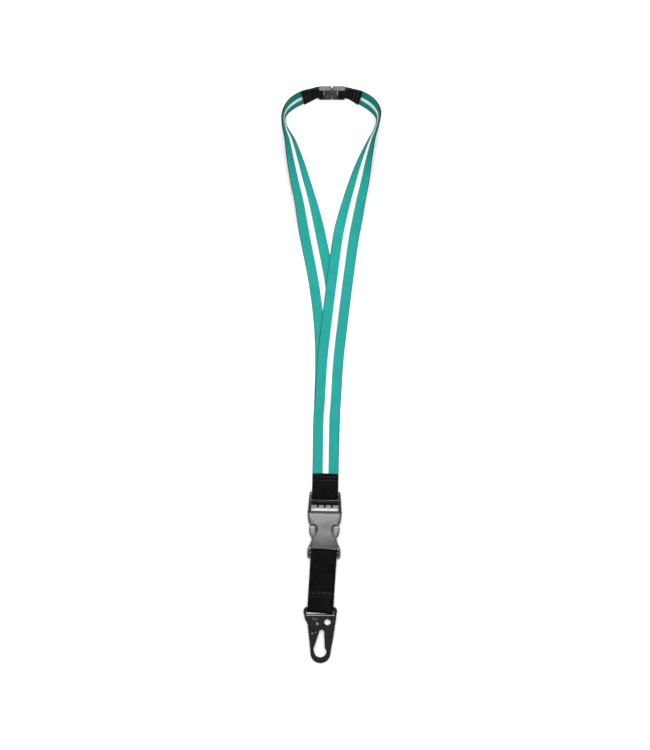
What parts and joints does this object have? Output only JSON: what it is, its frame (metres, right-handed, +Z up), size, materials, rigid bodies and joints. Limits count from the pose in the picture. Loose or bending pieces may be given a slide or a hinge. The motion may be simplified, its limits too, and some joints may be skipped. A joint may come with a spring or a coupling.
{
  "type": "neck lanyard",
  "caption": "Flat striped neck lanyard with a breakaway clip behind the neck, a side-release buckle and a flat spring-gate snap hook on a short webbing strap.",
  "frame": {"origin": "on the resting plane, under the middle of the lanyard as it lies flat", "axes": "+X across the lanyard to the right, +Y along it from the snap hook to the neck clip, +Z up from the resting plane"},
  "size_m": [0.0943, 0.5459, 0.0304],
  "materials": {
    "striped_webbing": "woven polyester, teal with a white centre stripe on one face and black on the other",
    "thread": "black polyester thread",
    "clip_plastic": "satin moulded acetal",
    "buckle_plastic": "fine-textured moulded acetal",
    "black_steel": "satin black coated sheet steel",
    "rivet_steel": "satin black coated steel",
    "spring_steel": "bright spring wire"
  },
  "bodies": {
    "neck": {"neck_strap_left": "striped_webbing", "neck_strap_right": "striped_webbing", "clip_stitches_left": "thread", "tab_stitches": "thread", "breakaway_socket": "clip_plastic"},
    "clip_plug": {"breakaway_plug": "clip_plastic", "breakaway_latches": "clip_plastic", "clip_stitches_right": "thread"},
    "buckle_male": {"buckle_male_frame": "buckle_plastic"},
    "prong_left": {"buckle_prong_left": "buckle_plastic"},
    "prong_right": {"buckle_prong_right": "buckle_plastic"},
    "housing": {"buckle_housing": "buckle_plastic"},
    "hook_strap": {"short_strap": "striped_webbing", "short_strap_stitches": "thread"},
    "hook": {"hook_body": "black_steel", "gate_rivet": "rivet_steel", "spring_anchor_pin": "rivet_steel", "gate_spring": "spring_steel"},
    "gate": {"hook_gate": "black_steel"}
  },
  "joints": [
    {"name": "breakaway_release", "type": "slide", "parent": "neck", "child": "clip_plug", "axis": [1, 0, 0], "range_m": [0, 0.008], "deforming": ["neck_strap_right", "breakaway_latches"]},
    {"name": "buckle_tilt", "type": "hinge", "parent": "neck", "child": "buckle_male", "pos_m": [-0.00609, -0.1147, 0.0052], "axis": [0.9998, -0.0209, 0], "range_deg": [-70, 70]},
    {"name": "buckle_release", "type": "slide", "parent": "buckle_male", "child": "housing", "axis": [-0.0209, -0.9998, 0], "range_m": [0, 0.03], "deforming": ["buckle_prong_left", "buckle_prong_right"]},
    {"name": "prong_squeeze_left", "type": "hinge", "parent": "buckle_male", "child": "prong_left", "pos_m": [-0.01735, -0.13167, 0.0052], "axis": [0, 0, 1], "range_deg": [0, 8], "stiffness_Nm_per_rad": 0.3},
    {"name": "prong_squeeze_right", "type": "hinge", "parent": "buckle_male", "child": "prong_right", "pos_m": [0.00444, -0.13213, 0.0052], "axis": [0, 0, -1], "range_deg": [0, 8], "stiffness_Nm_per_rad": 0.3},
    {"name": "strap_tilt", "type": "hinge", "parent": "housing", "child": "hook_strap", "pos_m": [-0.00721, -0.16789, 0.0052], "axis": [0.9998, -0.0209, 0], "range_deg": [-70, 70]},
    {"name": "hook_swing", "type": "hinge", "parent": "hook_strap", "child": "hook", "pos_m": [-0.01061, -0.22198, 0.004], "axis": [1, 0, 0], "range_deg": [-60, 60]},
    {"name": "gate_open", "type": "hinge", "parent": "hook", "child": "gate", "pos_m": [-0.01341, -0.23548, 0.004], "axis": [0, 0, 1], "range_deg": [0, 22], "stiffness_Nm_per_rad": 0.05, "springref_deg": -17.19, "deforming": ["gate_spring"]}
  ]
}
